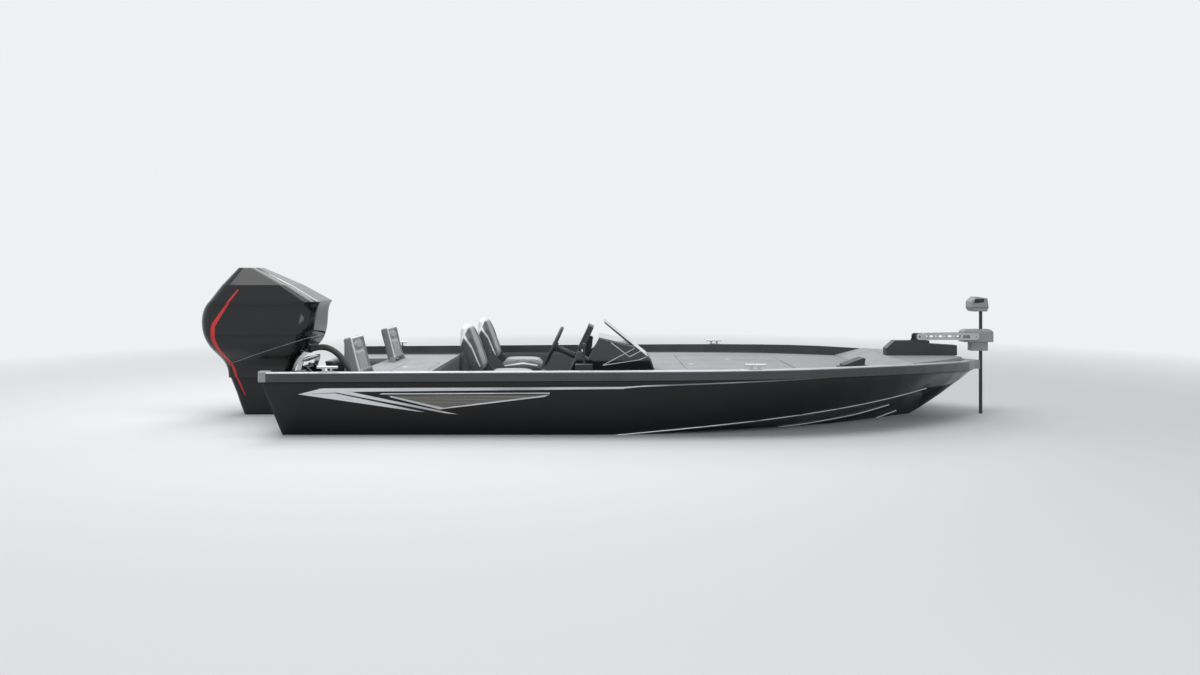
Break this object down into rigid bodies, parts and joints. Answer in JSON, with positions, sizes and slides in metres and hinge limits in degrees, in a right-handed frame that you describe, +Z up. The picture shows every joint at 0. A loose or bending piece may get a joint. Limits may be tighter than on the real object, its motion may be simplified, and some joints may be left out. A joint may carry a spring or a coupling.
{
  "type": "aluminum fishing boat",
  "caption": "Open aluminum fishing boat with casting decks, side console, folding seats, stern outboard and a folding bow-mount electric motor.",
  "frame": {"origin": "amidships on the centre plane, at the waterline", "axes": "+X to the bow, +Y to port, +Z up"},
  "size_m": [6.7586, 2.41, 1.995],
  "materials": {
    "hull_paint": "gloss",
    "rail_metal": "satin",
    "deck_liner": "matte",
    "inner_panel": "satin",
    "console_black": "gloss",
    "smoked_screen": "gloss",
    "trim_black": "matte",
    "seat_vinyl": "satin",
    "seat_plastic": "satin",
    "cowl_paint": "gloss",
    "leg_paint": "gloss",
    "propeller_metal": "polished",
    "steel": "polished",
    "hose_rubber": "matte",
    "grey_plastic": "satin",
    "pale_plastic": "satin",
    "bow_motor_metal": "satin"
  },
  "bodies": {
    "hull": {"hull_shell": "hull_paint", "gunwale_rails": "rail_metal", "transom_corner_caps": "grey_plastic", "cockpit_floor": "deck_liner", "front_deck": "deck_liner", "locker_walls": "inner_panel", "aft_bulkhead": "inner_panel", "splashwell": "inner_panel", "aft_deck": "deck_liner", "helm_seat_base_starboard": "seat_plastic", "helm_seat_base_port": "seat_plastic", "helm_cushion_starboard": "seat_vinyl", "helm_cushion_port": "seat_vinyl", "console": "console_black", "console_screen": "smoked_screen", "display_unit": "trim_black", "steering_column": "trim_black", "throttle": "trim_black", "rigging_box": "grey_plastic", "cleats": "steel", "foot_pedal": "trim_black", "bow_panel": "grey_plastic", "bow_cap": "grey_plastic", "bow_nose": "grey_plastic", "clamp_bracket": "leg_paint", "rigging_hose": "hose_rubber", "trolling_base": "bow_motor_metal"},
    "centre_lid": {"front_lid_centre": "deck_liner"},
    "port_lid": {"front_lid_port": "deck_liner"},
    "starboard_lid": {"front_lid_starboard": "deck_liner"},
    "stern_lid": {"aft_lid": "deck_liner"},
    "jump_back_starboard": {"jump_seat_back_starboard": "seat_vinyl"},
    "jump_back_port": {"jump_seat_back_port": "seat_vinyl"},
    "seat_back_starboard": {"helm_back_starboard": "seat_vinyl"},
    "seat_back_port": {"helm_back_port": "seat_vinyl"},
    "wheel": {"steering_wheel": "trim_black"},
    "swivel": {"swivel_bracket": "leg_paint", "steering_cylinder": "steel"},
    "outboard": {"outboard_leg": "leg_paint", "gearcase": "leg_paint", "lower_cowl": "cowl_paint", "upper_cowl": "cowl_paint"},
    "screw": {"propeller": "propeller_metal"},
    "bow_arms": {"trolling_arms": "pale_plastic"},
    "bow_bracket": {"trolling_bracket": "grey_plastic"},
    "bow_motor": {"trolling_shaft": "bow_motor_metal", "trolling_head": "grey_plastic"},
    "bow_screw": {"trolling_propeller": "trim_black"}
  },
  "joints": [
    {"name": "centre_lid_open", "type": "hinge", "parent": "hull", "child": "centre_lid", "pos_m": [1.2175, 0, 0.4075], "axis": [0, 1, 0], "range_deg": [0, 85]},
    {"name": "port_lid_open", "type": "hinge", "parent": "hull", "child": "port_lid", "pos_m": [0.78, 0.7875, 0.4075], "axis": [-1, 0, 0], "range_deg": [0, 85]},
    {"name": "starboard_lid_open", "type": "hinge", "parent": "hull", "child": "starboard_lid", "pos_m": [0.78, -0.7875, 0.4075], "axis": [1, 0, 0], "range_deg": [0, 85]},
    {"name": "stern_lid_open", "type": "hinge", "parent": "hull", "child": "stern_lid", "pos_m": [-1.8125, -0.045, 0.3875], "axis": [0, 1, 0], "range_deg": [0, 85]},
    {"name": "jump_back_starboard_fold", "type": "hinge", "parent": "hull", "child": "jump_back_starboard", "pos_m": [-2.23, -0.62, 0.432], "axis": [0, 1, 0], "range_deg": [0, 104]},
    {"name": "jump_back_port_fold", "type": "hinge", "parent": "hull", "child": "jump_back_port", "pos_m": [-2.23, 0.53, 0.432], "axis": [0, 1, 0], "range_deg": [0, 104]},
    {"name": "seat_back_starboard_fold", "type": "hinge", "parent": "hull", "child": "seat_back_starboard", "pos_m": [-1.345, -0.5, 0.495], "axis": [0, 1, 0], "range_deg": [0, 106]},
    {"name": "seat_back_port_fold", "type": "hinge", "parent": "hull", "child": "seat_back_port", "pos_m": [-1.345, 0.5, 0.495], "axis": [0, 1, 0], "range_deg": [0, 106]},
    {"name": "motor_tilt", "type": "hinge", "parent": "hull", "child": "swivel", "pos_m": [-2.88, 0, 0.385], "axis": [0, 1, 0], "range_deg": [0, 65], "deforming": ["rigging_hose"]},
    {"name": "motor_steer", "type": "hinge", "parent": "swivel", "child": "outboard", "pos_m": [-3.01, 0, 0.1], "axis": [0, 0, 1], "range_deg": [-30, 30]},
    {"name": "propeller_turn", "type": "hinge", "parent": "outboard", "child": "screw", "pos_m": [-3.411, 0, -0.49], "axis": [1, 0, 0], "continuous": true},
    {"name": "steering_wheel_turn", "type": "hinge", "parent": "hull", "child": "wheel", "pos_m": [-0.743, -0.5, 0.616], "axis": [0.91, 0, -0.4147], "range_deg": [-810, 810]},
    {"name": "bow_motor_stow", "type": "hinge", "parent": "hull", "child": "bow_arms", "pos_m": [2.335, 0, 0.66], "axis": [0, -1, 0], "range_deg": [0, 175]},
    {"name": "bow_bracket_turn", "type": "hinge", "parent": "bow_arms", "child": "bow_bracket", "pos_m": [2.815, 0, 0.66], "axis": [0, -1, 0], "range_deg": [-85, 0]},
    {"name": "bow_motor_steer", "type": "hinge", "parent": "bow_bracket", "child": "bow_motor", "pos_m": [2.88, 0, 0.66], "axis": [0, 0, 1], "range_deg": [-180, 180]},
    {"name": "bow_propeller_turn", "type": "hinge", "parent": "bow_motor", "child": "bow_screw", "pos_m": [2.702, 0, -0.5], "axis": [1, 0, 0], "continuous": true}
  ],
  "couplings": [
    {"joint": "steering_wheel_turn", "follows": "motor_steer", "ratio": 27},
    {"joint": "bow_bracket_turn", "follows": "bow_motor_stow", "ratio": -0.48571}
  ]
}
